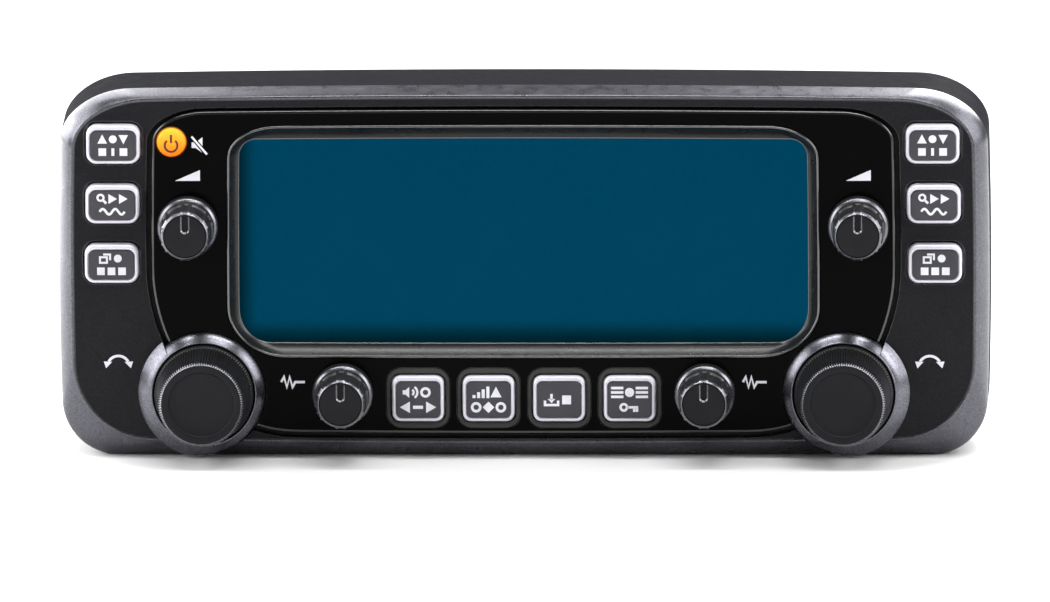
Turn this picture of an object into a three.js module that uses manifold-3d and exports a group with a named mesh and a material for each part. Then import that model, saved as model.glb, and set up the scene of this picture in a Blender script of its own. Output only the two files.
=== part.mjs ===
// Control head of a mobile transceiver: a wide display between two tuning dials, four small knobs
// and eleven keys, in a two-part case that also holds the circuit board and the cable socket.
// Units are millimetres. +Z is up, the front faces -Y, and the origin is the centre of the footprint.
// Shapes are drawn in front view as [x, z]; depth d runs back from the dark front face, where d = 0.

import * as THREE from 'three';
import { mergeVertices } from 'three/addons/utils/BufferGeometryUtils.js';
import Module from 'manifold-3d';

const wasm = await Module();
wasm.setup();

// ---------------------------------------------------------------- driving dimensions

const GAP = 0.3; // clearance that neighbouring pieces keep
const WALL = 2; // case wall
const MID_Z = 30; // mid-height, about which every outline is crowned
const HALF_WIDTH = 75; // half of the overall width
const CROWN = 0.025; // share by which a horizontal edge rises at its middle
const SIDE_BULGE = 0.008; // share by which an upright edge bulges at its middle

// Depths, from the front face back
const D = {
  rim: 3.5, // back of the sloping band
  plate: 3.2, // back of the front plate
  panel: -0.6, // front of the black panel
  panelBack: 1.2,
  pocket: 1.5, // floor of the pocket that holds the panel
  bezel: -0.9,
  windowFront: 1.5,
  windowBack: 2.7,
  lcdFront: 3.5,
  lcdBack: 5.3,
  guideBack: 8.2,
  board: 9.5,
  boardBack: 11.1,
  parting: 19, // back edge of the front case
  rearPlate: 25,
  rear: 27,
  dialFront: -12,
  knobFront: -11,
};

// Outlines in front view: half width, bottom, top, and the extent [x, z] of the corners
const BODY_REAR = { w: 74.4, bottom: 0, top: 59.5, lower: [8.5, 8.8], upper: [12.5, 9.5], flatBase: true };
const BODY_RIM = { w: 74.2, bottom: 0, top: 59.4, lower: [8.5, 8.8], upper: [12.5, 9.5], flatBase: true };
const BODY_FACE = { w: 72.1, bottom: 3.2, top: 58.3, lower: [12.2, 12.2], upper: [12, 7.8] };
const COVER_FRONT = { w: 72.9, bottom: 1.5, top: 58, lower: [8, 8], upper: [11.5, 8.5], flatBase: true };
const COVER_REAR = { w: 71.4, bottom: 3, top: 56.4, lower: [7.5, 7.5], upper: [10.5, 7.5], flatBase: true };
const PANEL = {
  w: 59.3, bottom: 4.7, top: 56.2, lower: [23, 26.5], upper: [8.5, 4.8], lowerHandles: [0.69, 0.43],
};
// The pocket round the panel leaves a groove that is narrower along the top.
const POCKET = {
  w: 60.2, bottom: 3.85, top: 56.7, lower: [23.9, 27.4], upper: [9.4, 5.3], lowerHandles: [0.69, 0.43],
};
const BEZEL = { w: 47.2, bottom: 16.75, top: 53.8, lower: [9.3, 8], upper: [8, 5] };
const WINDOW = { w: 45.3, bottom: 18.9, top: 51.4, lower: [5, 5.5], upper: [2.6, 2.6] };
const LENS = { w: 46.1, bottom: 17.8, top: 52.6, lower: [6, 5.2], upper: [4, 4] };

// Controls, as [x, z] centres
const DIAL = { x: 51.4, z: 10.8, knobR: 7.8, frontR: 6.9 };
const COLLAR = { front: -2.4, back: 1.9, bore: 8.2, lip: 8.5, ring: 9.8, skirt: 11.1 };
const VOLUME = { x: 53.8, z: 38 };
const SQUELCH = { x: 29.1, z: 10.7 };
const SMALL_KNOB = { flangeR: 4.9, bodyR: 4.25, frontR: 3.95, boreR: 2.3 };
const SIDE_KEY = { w: 4.3, h: 3.15, r: 1.6, places: [[65.7, 51.3], [65.9, 41.6], [66.1, 31.9]] };
const LOWER_KEY = { w: 4.15, h: 3.7, r: 1.3, x: [-17, -5.67, 5.67, 17], z: 9.9 };
const KEY_WELL = { w: 5.1, h: 4.95, r: 2.4, depth: 0.5 };
const POWER = { x: -56.35, z: 51.6, r: 2.5 };
const KEY = { front: -1.6, flange: 0.8, flangeGrow: 0.8, stemR: 1.2, stemEnd: 6.2, domeTop: 6.95 };

// Fasteners and connector
const COVER_SCREWS = [[-58, 51.6], [58, 51.6], [-58, 8.2], [58, 8.2]];
const BOARD_SCREWS = [[-50.8, 45.8], [50.8, 45.8], [-39.3, 9.6], [39.3, 9.6]];
const INSERTS = [[-30, 46], [30, 46], [-30, 20], [30, 20]];
const JACK = { z: 14, w: 6.9, h: 6.5, mouthW: 5.1, mouthH: 3.5, keyW: 2.1, keyH: 2.3, depth: 12 };
const LABEL = { w: 21, h: 6, z: 44, thick: 0.5 };

// ---------------------------------------------------------------- shape helpers

// Crowns a point of an outline, so that long edges bow gently outwards.
function crown([x, z], flatBase) {
  const u = x / HALF_WIDTH;
  const v = (z - MID_Z) / MID_Z;
  const rise = z < MID_Z && flatBase ? 0 : CROWN * (1 - u * u);
  return [x * (1 + SIDE_BULGE * (1 - v * v)), MID_Z + (z - MID_Z) * (1 + rise)];
}

// Points from a to b, leaving a out.
function straight(a, b, steps) {
  return Array.from({ length: steps }, (_, i) => {
    const t = (i + 1) / steps;
    return [a[0] + (b[0] - a[0]) * t, a[1] + (b[1] - a[1]) * t];
  });
}

// A corner that leaves a along the x axis (or the z axis) and arrives at b square to that, leaving a out.
function corner(a, b, alongX, [hx, hz], steps) {
  const first = alongX ? [a[0] + (b[0] - a[0]) * hx, a[1]] : [a[0], a[1] + (b[1] - a[1]) * hz];
  const second = alongX ? [b[0], b[1] - (b[1] - a[1]) * hz] : [b[0] - (b[0] - a[0]) * hx, b[1]];
  const curve = new THREE.CubicBezierCurve(...[a, first, second, b].map((p) => new THREE.Vector2(...p)));
  return curve.getPoints(steps).slice(1).map((p) => [p.x, p.y]);
}

const ROUND = [0.5523, 0.5523]; // handle lengths that make a corner nearly circular
const COARSE = { corner: 2, edge: 1, side: 1 };
const FINE = { corner: 6, edge: 4, side: 2 };

// A closed outline, symmetrical in x, counter-clockwise as the front viewer sees it.
function outline(o, detail = FINE) {
  const [lx, lz] = o.lower;
  const [ux, uz] = o.upper;
  const half = [[0, o.bottom]];
  half.push(...straight([0, o.bottom], [o.w - lx, o.bottom], detail.edge));
  const lowerEnds = [[o.w - lx, o.bottom], [o.w, o.bottom + lz]];
  half.push(...corner(...lowerEnds, true, o.lowerHandles ?? ROUND, detail.corner));
  half.push(...straight([o.w, o.bottom + lz], [o.w, o.top - uz], detail.side));
  half.push(...corner([o.w, o.top - uz], [o.w - ux, o.top], false, ROUND, detail.corner));
  half.push(...straight([o.w - ux, o.top], [0, o.top], detail.edge));
  const mirrored = half.slice(1, -1).reverse().map(([x, z]) => [-x, z]);
  const loop = [...half, ...mirrored];
  return o.plain ? loop : loop.map((p) => crown(p, o.flatBase));
}

// The same outline drawn in by k on every side, or out where k is negative.
function inset(o, k) {
  const less = ([x, z]) => [Math.max(x - k, 0.4), Math.max(z - k, 0.4)];
  const smaller = { w: o.w - k, bottom: o.bottom + k, top: o.top - k };
  return { ...o, ...smaller, lower: less(o.lower), upper: less(o.upper) };
}

// A plain rounded rectangle round a centre, by half width, half height and corner radius.
function rounded(w, h, r, z = 0) {
  return { w, bottom: z - h, top: z + h, lower: [r, r], upper: [r, r], plain: true };
}

// A closed body through outlines at increasing depth. Two outlines at one depth make a step.
function loft(sections, detail = FINE) {
  const rings = sections.map(({ d, o }) => outline(o, detail).map(([x, z]) => [x, d, z]));
  const n = rings[0].length;
  const index = [];
  for (let s = 0; s < rings.length - 1; s++) {
    for (let i = 0; i < n; i++) {
      const j = (i + 1) % n;
      const [a, b] = [s * n + i, s * n + j];
      index.push(a, a + n, b + n, a, b + n, b);
    }
  }
  const flat = (ring) => ring.map(([x, , z]) => new THREE.Vector2(x, z));
  const cap = (ring) => THREE.ShapeUtils.triangulateShape(flat(ring), []);
  const last = (rings.length - 1) * n;
  for (const [a, b, c] of cap(rings[0])) index.push(a, b, c);
  for (const [a, b, c] of cap(rings.at(-1))) index.push(last + c, last + b, last + a);
  const geometry = new THREE.BufferGeometry();
  geometry.setAttribute('position', new THREE.Float32BufferAttribute(rings.flat(2), 3));
  return geometry.setIndex(index);
}

// A straight-sided slab of one outline between two depths.
const slab = (o, d0, d1, detail) => loft([{ d: d0, o }, { d: d1, o }], detail);

// A body turned about the Y axis. The profile is [radius, depth] and runs from front to back outside.
const turned = (profile, segments = 24) =>
  new THREE.LatheGeometry(profile.map(([r, d]) => new THREE.Vector2(r, d)), segments);

const rod = (r, d0, d1, x = 0, z = 0, segments = 12) =>
  new THREE.CylinderGeometry(r, r, d1 - d0, segments).translate(x, (d0 + d1) / 2, z);

const block = (x0, x1, d0, d1, z0, z1) =>
  new THREE.BoxGeometry(x1 - x0, d1 - d0, z1 - z0).translate((x0 + x1) / 2, (d0 + d1) / 2, (z0 + z1) / 2);

// A three.js geometry as a manifold-3d solid.
function solid(geometry) {
  const plain = new THREE.BufferGeometry();
  plain.setAttribute('position', geometry.getAttribute('position').clone());
  if (geometry.index) plain.setIndex(geometry.index.clone());
  const merged = mergeVertices(plain, 1e-4);
  const vertProperties = merged.attributes.position.array;
  const triVerts = new Uint32Array(merged.index.array);
  return new wasm.Manifold(new wasm.Mesh({ numProp: 3, vertProperties, triVerts }));
}

const union = (...geometries) => geometries.map(solid).reduce((whole, piece) => whole.add(piece));
const cut = (body, ...tools) => tools.reduce((rest, tool) => rest.subtract(solid(tool)), body);

// ---------------------------------------------------------------- materials

const material = (color, roughness, metalness = 0) =>
  new THREE.MeshStandardMaterial({ color, roughness, metalness });

const MATERIAL = {
  case: material(0x2a2a2e, 0.5, 0.2),
  panel: material(0x0c0c0c, 0.25),
  bezel: material(0x55564f, 0.3, 0.8),
  clear: material(0x9fb6c0, 0.05),
  display: material(0x003f60, 0.3),
  guide: material(0xd8dde0, 0.4),
  silver: material(0xb9b8c2, 0.35, 0.8),
  knob: material(0x2c2c2f, 0.45),
  key: material(0xc9c8d2, 0.35, 0.3),
  amber: material(0xf5a033, 0.35),
  board: material(0x14502f, 0.5),
  black: material(0x18181a, 0.6),
  rubber: material(0x6a6d70, 0.8),
  steel: material(0x9a9ca0, 0.35, 1),
  brass: material(0xb08d3e, 0.35, 1),
  flex: material(0xb5722a, 0.4),
  label: material(0x8c8e92, 0.45, 0.6),
};

const head = new THREE.Group();

// Adds one named piece, from a geometry or a manifold-3d solid, at a place in front view.
function piece(name, shape, finish, [x, z] = [0, 0]) {
  let geometry = shape;
  if (shape instanceof wasm.Manifold) {
    const { vertProperties, triVerts } = shape.getMesh();
    geometry = new THREE.BufferGeometry();
    geometry.setAttribute('position', new THREE.BufferAttribute(vertProperties, 3));
    geometry.setIndex(new THREE.BufferAttribute(triVerts, 1));
    geometry.computeVertexNormals();
  }
  const mesh = new THREE.Mesh(geometry, MATERIAL[finish]);
  mesh.name = name;
  mesh.position.set(x, 0, z);
  head.add(mesh);
}

const SIDES = [['left', -1], ['right', 1]];

// ---------------------------------------------------------------- case and panel

// The round seat that takes a dial's collar.
const collarSeat = (x) => rod(COLLAR.ring + GAP, -3, COLLAR.back + GAP, x, DIAL.z, 32);

// The space that a key, grown by a margin, takes between two depths.
function keySpace({ w, h, r }, x, z, d0, d1, margin = GAP) {
  return slab(rounded(w + margin, h + margin, r + margin), d0, d1, COARSE).translate(x, 0, z);
}

function buildFrontCase() {
  const outer = loft([{ d: 0, o: BODY_FACE }, { d: D.rim, o: BODY_RIM }, { d: D.parting, o: BODY_REAR }]);
  const hollow = loft([
    { d: D.plate, o: inset(BODY_RIM, WALL) },
    { d: D.parting + 1, o: inset(BODY_REAR, WALL) },
  ]);
  let body = cut(solid(outer), hollow);
  body = cut(body, slab(POCKET, -1, D.pocket));
  body = cut(body, slab(inset(LENS, -GAP), 0, D.plate + 1));
  for (const [, side] of SIDES) {
    body = cut(body, collarSeat(side * DIAL.x), rod(4.6, 0, 5, side * DIAL.x, DIAL.z));
    for (const { x, z } of [VOLUME, SQUELCH]) body = cut(body, rod(3.4, 0, 5, side * x, z));
    for (const [x, z] of SIDE_KEY.places) body = cut(body, keySpace(SIDE_KEY, side * x, z, -1, 5));
    // The upper keys sit close to the case's corners, which make room for their flanges.
    const [x, z] = SIDE_KEY.places[0];
    body = cut(body, keySpace(SIDE_KEY, side * x, z, D.plate, 6, KEY.flangeGrow + GAP));
  }
  for (const x of LOWER_KEY.x) body = cut(body, keySpace(LOWER_KEY, x, LOWER_KEY.z, -1, 5));
  body = cut(body, rod(POWER.r + GAP, 0, 5, POWER.x, POWER.z));
  // Posts for the board, and bosses on the top and bottom walls for the cover's screws
  for (const [x, z] of BOARD_SCREWS) {
    body = body.add(solid(rod(2.1, D.plate - 0.2, D.board - GAP, x, z)));
    body = cut(body, rod(1.1, 4.4, D.board, x, z));
  }
  for (const [x, z] of COVER_SCREWS) {
    const wallZ = z > MID_Z ? BODY_RIM.top - 1 : 1;
    const web = block(x - 1.2, x + 1.2, 11.8, 18.6, Math.min(z, wallZ), Math.max(z, wallZ));
    body = body.add(solid(rod(2.6, 11.8, 18.6, x, z))).add(solid(web));
    body = cut(body, rod(1.5, 12.8, 19, x, z));
  }
  return body;
}

function buildFrontPanel() {
  const edge = 0.35;
  const plate = loft([
    { d: D.panel, o: inset(PANEL, edge) },
    { d: D.panel + edge, o: PANEL },
    { d: D.panelBack, o: PANEL },
  ]);
  let body = cut(solid(plate), slab(inset(BEZEL, -GAP), -2, 2));
  for (const [, side] of SIDES) {
    body = cut(body, collarSeat(side * DIAL.x));
    for (const { x, z } of [VOLUME, SQUELCH]) body = cut(body, rod(3.4, -2, 2, side * x, z));
  }
  for (const x of LOWER_KEY.x) {
    const well = slab(rounded(KEY_WELL.w, KEY_WELL.h, KEY_WELL.r), -2, D.panel + KEY_WELL.depth, COARSE);
    body = cut(body, well.translate(x, 0, LOWER_KEY.z), keySpace(LOWER_KEY, x, LOWER_KEY.z, -2, 2));
  }
  return cut(body, rod(POWER.r + GAP, -2, 2, POWER.x, POWER.z));
}

function buildBezel() {
  const lip = 0.3;
  const frame = loft([
    { d: D.bezel, o: inset(BEZEL, lip) },
    { d: D.bezel + lip, o: BEZEL },
    { d: D.panelBack, o: BEZEL },
  ]);
  const funnel = loft([
    { d: D.bezel - 0.2, o: inset(BEZEL, 0.3) },
    { d: 0.8, o: WINDOW },
    { d: 2, o: WINDOW },
  ]);
  return cut(solid(frame), funnel);
}

function buildRearCover() {
  const round = 1.2;
  const shell = loft([
    { d: D.parting + GAP, o: COVER_FRONT },
    { d: D.rear - round, o: COVER_REAR },
    { d: D.rear, o: inset(COVER_REAR, round) },
  ]);
  // A locating lip reaches forward inside the front case.
  const lipOutside = inset(BODY_REAR, WALL + 0.6);
  let lip = cut(solid(slab(lipOutside, D.parting - 2, D.parting + 2)), slab(inset(lipOutside, 1.2), 0, 30));
  for (const [x, z] of COVER_SCREWS) {
    lip = cut(lip, block(x - 3.2, x + 3.2, 16, D.parting + GAP, z - 8, z + 8));
  }
  const hollow = loft([
    { d: D.parting, o: inset(COVER_FRONT, WALL) },
    { d: D.rearPlate, o: inset(COVER_REAR, WALL) },
  ]);
  let body = cut(solid(shell), hollow).add(lip);
  for (const [x, z] of COVER_SCREWS) {
    const tower = rod(3.4, D.parting + GAP, D.rearPlate + 1, x, z);
    body = body.add(solid(tower));
  }
  for (const [x, z] of COVER_SCREWS) body = cut(body, rod(1.5, 15, 26, x, z, 12), rod(2.7, 24.2, 28, x, z));
  for (const [x, z] of INSERTS) {
    body = cut(body.add(solid(rod(3.6, 20, D.rearPlate + 1, x, z))), rod(2.6, 20.9, 28, x, z));
  }
  const mouth = block(-JACK.w - GAP, JACK.w + GAP, 15, 28, JACK.z - JACK.h - GAP, JACK.z + JACK.h + GAP);
  const seat = rounded(LABEL.w + GAP, LABEL.h + GAP, 1.3, LABEL.z);
  return cut(body, mouth, slab(seat, D.rear - LABEL.thick - GAP, 28, COARSE));
}

piece('front_case', buildFrontCase(), 'case');
piece('rear_cover', buildRearCover(), 'case');
piece('front_panel', buildFrontPanel(), 'panel');
piece('display_bezel', buildBezel(), 'bezel');
piece('display_window', slab(LENS, D.windowFront, D.windowBack), 'clear');
piece('rating_label',
  slab(rounded(LABEL.w, LABEL.h, 1), D.rear - LABEL.thick, D.rear, COARSE), 'label', [0, LABEL.z]);

// ---------------------------------------------------------------- display

const LCD = { w: 46.4, h: 17.9, z: 36.1 };
const HOLDER = { w: 47.7, h: 18.9, wall: 0.9 };
const FLEX = { w: 12, top: 55.6 };

function buildHolder() {
  const upright = [LCD.z - HOLDER.h, LCD.z + HOLDER.h];
  const body = solid(block(-HOLDER.w, HOLDER.w, D.lcdFront, D.board - GAP, ...upright));
  const inside = [HOLDER.w - HOLDER.wall, HOLDER.h - HOLDER.wall];
  const room = block(-inside[0], inside[0], 0, D.guideBack + GAP, LCD.z - inside[1], LCD.z + inside[1]);
  const slot = block(-FLEX.w - GAP, FLEX.w + GAP, 0, 20, LCD.z + LCD.h, 60);
  return cut(body, room, slot);
}

// The flat cable leaves the glass at the top, crosses the board's edge and hangs behind it.
function buildFlex() {
  const thick = 0.3;
  const start = D.lcdFront + 0.5;
  const end = D.boardBack + GAP + thick;
  return union(
    block(-FLEX.w, FLEX.w, start, start + thick, LCD.z + LCD.h + GAP, FLEX.top),
    block(-FLEX.w, FLEX.w, start, end, FLEX.top - thick, FLEX.top),
    block(-FLEX.w, FLEX.w, end - thick, end, 47, FLEX.top),
  );
}

piece('lcd_panel', block(-LCD.w, LCD.w, D.lcdFront, D.lcdBack, LCD.z - LCD.h, LCD.z + LCD.h), 'display');
piece('light_guide',
  block(-LCD.w, LCD.w, D.lcdBack + GAP, D.guideBack, LCD.z - LCD.h, LCD.z + LCD.h), 'guide');
piece('lcd_holder', buildHolder(), 'black');
piece('lcd_flex', buildFlex(), 'flex');

// ---------------------------------------------------------------- circuit board and what it carries

function buildBoard() {
  const edge = rounded(69.5, 25.6, 8, 29.4);
  let body = solid(slab(edge, D.board, D.boardBack, COARSE));
  for (const [x, z] of BOARD_SCREWS) body = cut(body, rod(1.4, 9, 12, x, z));
  // Processor, memory, regulator and two inductors, soldered on the back
  const chips = [
    [-16, 38, 6, 6, 1.4], [6, 40, 4, 3, 1.2], [34, 34, 4.5, 3.5, 2.4], [-42, 30, 3, 3, 3], [46, 24, 3, 3, 3],
  ];
  for (const [x, z, w, h, tall] of chips) {
    body = body.add(solid(block(x - w, x + w, D.boardBack - 0.2, D.boardBack + tall, z - h, z + h)));
  }
  return body;
}

function buildJack() {
  const depth = [D.boardBack + GAP, D.rear - 0.2];
  const housing = solid(block(-JACK.w, JACK.w, ...depth, -JACK.h, JACK.h));
  const mouthStart = depth[1] - JACK.depth;
  const top = 2.4; // the mouth sits low, with the latch slot above it
  return cut(housing,
    block(-JACK.mouthW, JACK.mouthW, mouthStart, 30, top - 2 * JACK.mouthH, top),
    block(-JACK.keyW, JACK.keyW, mouthStart, 30, top - 1, top + JACK.keyH));
}

// A rotary part on the board: a square body with a bush, bored for its shaft.
function rotaryBody(halfSize, bushR, shaftR, bushFront) {
  const body = union(
    block(-halfSize, halfSize, 4.6, D.board - GAP, -halfSize, halfSize),
    rod(bushR, bushFront, 5),
  );
  return cut(body, rod(shaftR + 0.2, bushFront - 1, 7.2));
}

piece('main_board', buildBoard(), 'board');
piece('control_jack', buildJack(), 'black', [0, JACK.z]);
for (const [name, side] of SIDES) {
  piece(`dial_encoder_${name}`, rotaryBody(5.5, 4.2, 3, 1.4), 'steel', [side * DIAL.x, DIAL.z]);
  piece(`dial_shaft_${name}`, rod(3, -8, 6.9), 'steel', [side * DIAL.x, DIAL.z]);
  for (const [knob, { x, z }] of [['volume', VOLUME], ['squelch', SQUELCH]]) {
    piece(`${knob}_pot_${name}`, rotaryBody(4.5, 3.1, 2, 1.4), 'steel', [side * x, z]);
    piece(`${knob}_shaft_${name}`, rod(2, -7.6, 6.9), 'steel', [side * x, z]);
  }
}

// ---------------------------------------------------------------- dials and knobs

// A dial's collar: a slim cone over the panel, with a wider skirt over the case beside it.
function buildCollar(x) {
  const { front, back, bore, lip, ring, skirt } = COLLAR;
  const slim = [[bore, front], [lip, front], [ring, D.panel], [ring, back], [bore, back], [bore, front]];
  const inner = bore + 0.1;
  const wide = [[inner, front], [lip, front], [skirt, -0.7], [skirt, -GAP], [inner, -GAP], [inner, front]];
  const clear = slab(inset(POCKET, -GAP), -5, 5).translate(-x, 0, -DIAL.z);
  const envelope = loft([{ d: -3, o: BODY_FACE }, { d: 0.5, o: BODY_RIM }]).translate(-x, 0, -DIAL.z);
  return solid(turned(slim, 32)).add(cut(solid(turned(wide, 32)), clear).intersect(solid(envelope)));
}

function buildDialKnob() {
  const { knobR, frontR } = DIAL;
  const front = D.dialFront;
  return turned([
    [0, front + 0.5], [5.2, front + 0.5], [5.6, front], [frontR - 0.3, front], [frontR, front + 0.4],
    [knobR - 0.2, -2.8], [knobR, -2.4], [knobR, 0.9],
    [3.3, 0.9], [3.3, -8.3], [0, -8.3],
  ], 36);
}

// A small knob: a flange, a grip with six wide flutes, and a pointer groove in its face.
function buildSmallKnob() {
  const { flangeR, bodyR, frontR, boreR } = SMALL_KNOB;
  const front = D.knobFront;
  let body = solid(turned([
    [0, front], [frontR - 0.3, front], [frontR, front + 0.3], [bodyR, -3],
    [flangeR, -2.2], [flangeR, D.panel - GAP], [boreR, D.panel - GAP], [boreR, -7.9], [0, -7.9],
  ]));
  for (let i = 0; i < 6; i++) {
    const angle = (i + 0.5) * Math.PI / 3;
    const away = frontR + 4.6;
    body = cut(body, rod(4.9, front - 1, -3.4, away * Math.sin(angle), away * Math.cos(angle), 16));
  }
  return cut(body, block(-0.35, 0.35, front - 1, front + 0.5, 0.8, 3.4));
}

const dialKnob = buildDialKnob();
const smallKnob = buildSmallKnob();
for (const [name, side] of SIDES) {
  piece(`dial_collar_${name}`, buildCollar(side * DIAL.x), 'silver', [side * DIAL.x, DIAL.z]);
  piece(`dial_knob_${name}`, dialKnob, 'knob', [side * DIAL.x, DIAL.z]);
  piece(`volume_knob_${name}`, smallKnob, 'knob', [side * VOLUME.x, VOLUME.z]);
  piece(`squelch_knob_${name}`, smallKnob, 'knob', [side * SQUELCH.x, SQUELCH.z]);
}

// ---------------------------------------------------------------- keys

// A key: a tapered cap, a flange that stops it behind the plate, and a stem towards its contact.
function buildKey({ w, h, r }) {
  const cap = rounded(w, h, r);
  const flangeFront = D.plate + 0.4;
  const flange = rounded(w + KEY.flangeGrow, h + KEY.flangeGrow, r + KEY.flangeGrow);
  const stem = rounded(KEY.stemR, KEY.stemR, KEY.stemR - 0.05);
  return loft([
    { d: KEY.front, o: inset(cap, 0.4) },
    { d: 0, o: cap },
    { d: flangeFront, o: cap },
    { d: flangeFront, o: flange },
    { d: flangeFront + KEY.flange, o: flange },
    { d: flangeFront + KEY.flange, o: stem },
    { d: KEY.stemEnd, o: stem },
  ], COARSE);
}

// A rubber mat on the board, with a contact dome under each key.
function buildMat(x0, x1, z0, z1, places) {
  const domes = places.map(([x, z]) =>
    turned([[0, KEY.domeTop], [1.5, KEY.domeTop], [2.2, 8.4], [0, 8.4]], 10).translate(x, 0, z));
  return union(block(x0, x1, 8.2, D.board - GAP, z0, z1), ...domes);
}

const SIDE_KEYS = ['main', 'scan', 'memory'];
const LOWER_KEYS = ['monitor', 'power_level', 'write', 'menu'];
for (const [name, side] of SIDES) {
  const places = SIDE_KEY.places.map(([x, z]) => [side * x, z]);
  SIDE_KEYS.forEach((key, i) => piece(`${key}_key_${name}`, buildKey(SIDE_KEY), 'key', places[i]));
  const middle = side * 65.7;
  piece(`key_mat_${name}`, buildMat(middle - 4.1, middle + 4.1, 28.4, 53.8, places), 'rubber');
}
LOWER_KEYS.forEach((key, i) => {
  piece(`${key}_key`, buildKey(LOWER_KEY), 'key', [LOWER_KEY.x[i], LOWER_KEY.z]);
});
piece('key_mat_lower', buildMat(-21.8, 21.8, 6, 15, LOWER_KEY.x.map((x) => [x, LOWER_KEY.z])), 'rubber');

piece('power_button', turned([
  [0, -1.5], [POWER.r - 0.4, -1.5], [POWER.r, -1.1],
  [POWER.r, 3.6], [POWER.r + 0.8, 3.6], [POWER.r + 0.8, 4.4],
  [KEY.stemR, 4.4], [KEY.stemR, KEY.stemEnd], [0, KEY.stemEnd],
], 20), 'amber', [POWER.x, POWER.z]);
const switchBody = block(-2.6, 2.6, 7.6, D.board - GAP, -2.6, 2.6);
piece('power_switch', union(switchBody, rod(1.2, KEY.domeTop, 8)), 'black', [POWER.x, POWER.z]);

// ---------------------------------------------------------------- fasteners

const screw = (headR, headFront, headBack, shankR, tip) => turned([
  [0, tip], [shankR, tip], [shankR, headFront], [headR, headFront], [headR - 0.5, headBack], [0, headBack],
], 12);

COVER_SCREWS.forEach((place, i) => {
  piece(`cover_screw_${i + 1}`, screw(2.3, 24.5, 26.1, 1.2, 14), 'steel', place);
});
BOARD_SCREWS.forEach((place, i) => {
  piece(`board_screw_${i + 1}`, screw(1.9, D.boardBack + GAP, 12.6, 0.9, 5), 'steel', place);
});
INSERTS.forEach((place, i) => {
  const tube = [[1.35, 21.2], [2.3, 21.2], [2.3, D.rear - 0.2], [1.35, D.rear - 0.2], [1.35, 21.2]];
  piece(`mount_insert_${i + 1}`, turned(tube, 12), 'brass', place);
});

head.position.y = -(D.dialFront + D.rear) / 2;

export default head;
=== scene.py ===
"""Visual model of a mobile transceiver's control head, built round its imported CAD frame.

Shapes are drawn in front view as (x, z) in millimetres, with a depth d counted back from the dark
front face. place_point() turns them into metres in the frame. A loop of points runs counter-clockwise
as the front viewer sees it, and a body is skinned over loops that run from the front to the back.
"""

import math
from dataclasses import dataclass, replace

import bpy
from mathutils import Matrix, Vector


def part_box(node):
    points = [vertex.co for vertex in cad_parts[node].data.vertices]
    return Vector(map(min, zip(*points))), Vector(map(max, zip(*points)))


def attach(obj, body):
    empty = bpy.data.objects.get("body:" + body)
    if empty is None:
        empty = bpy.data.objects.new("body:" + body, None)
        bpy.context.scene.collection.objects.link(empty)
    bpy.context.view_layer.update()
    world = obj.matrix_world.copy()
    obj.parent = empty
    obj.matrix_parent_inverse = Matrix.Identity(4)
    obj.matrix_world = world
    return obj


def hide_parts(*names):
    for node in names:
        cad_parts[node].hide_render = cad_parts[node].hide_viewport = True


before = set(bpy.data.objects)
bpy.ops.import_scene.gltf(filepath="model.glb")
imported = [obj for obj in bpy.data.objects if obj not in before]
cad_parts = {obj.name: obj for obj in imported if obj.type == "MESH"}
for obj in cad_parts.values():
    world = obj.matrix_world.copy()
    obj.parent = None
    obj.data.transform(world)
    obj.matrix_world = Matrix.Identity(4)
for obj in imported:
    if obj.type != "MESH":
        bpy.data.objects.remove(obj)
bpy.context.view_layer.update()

# ---------------------------------------------------------------- dimensions, close to the CAD's

MM = 0.001
FACE_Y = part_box("dial_knob_left")[0].y + 12 * MM
MID_Z = 30
HALF_WIDTH = 75
CROWN = 0.025
SIDE_BULGE = 0.008
ROUND = (0.5523, 0.5523)
PANEL_D = -0.6
PLATE_BACK_D = 3.2
PARTING_D = 19
COVER_D = 27
WALL = 2
SIDES = (("left", -1), ("right", 1))


def centre(node):
    """The middle of a CAD node in front view, as (x, z) in millimetres."""
    low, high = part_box(node)
    return (low.x + high.x) / 2 / MM, (low.z + high.z) / 2 / MM


@dataclass(frozen=True)
class Outline:
    """A rounded outline, symmetrical in x. lower and upper are the extents (x, z) of its corners."""

    w: float
    bottom: float
    top: float
    lower: tuple
    upper: tuple
    handles: tuple = ROUND
    flat_base: bool = False
    crowned: bool = True

    def inset(self, k):
        """The same outline drawn in by k on every side, or out where k is negative."""
        less = lambda extent: tuple(max(e - k, 0.05) for e in extent)
        return replace(self, w=self.w - k, bottom=self.bottom + k, top=self.top - k,
                       lower=less(self.lower), upper=less(self.upper))

    def points(self, corner=16, edge=14, side=8):
        """The loop of points."""
        (lx, lz), (ux, uz) = self.lower, self.upper
        half = [(0, self.bottom)]
        half += straight((0, self.bottom), (self.w - lx, self.bottom), edge)
        half += bend((self.w - lx, self.bottom), (self.w, self.bottom + lz), True, self.handles, corner)
        half += straight((self.w, self.bottom + lz), (self.w, self.top - uz), side)
        half += bend((self.w, self.top - uz), (self.w - ux, self.top), False, ROUND, corner)
        half += straight((self.w - ux, self.top), (0, self.top), edge)
        loop = half + [(-x, z) for x, z in reversed(half[1:-1])]
        return [self.crown(x, z) for x, z in loop] if self.crowned else loop

    def crown(self, x, z):
        """Moves a point so that long edges bow gently outwards."""
        u, v = x / HALF_WIDTH, (z - MID_Z) / MID_Z
        rise = 0 if z < MID_Z and self.flat_base else CROWN * (1 - u * u)
        return x * (1 + SIDE_BULGE * (1 - v * v)), MID_Z + (z - MID_Z) * (1 + rise)


def straight(a, b, steps):
    """Points from a to b, leaving a out."""
    shares = [i / steps for i in range(1, steps + 1)]
    return [(a[0] + (b[0] - a[0]) * t, a[1] + (b[1] - a[1]) * t) for t in shares]


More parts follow.
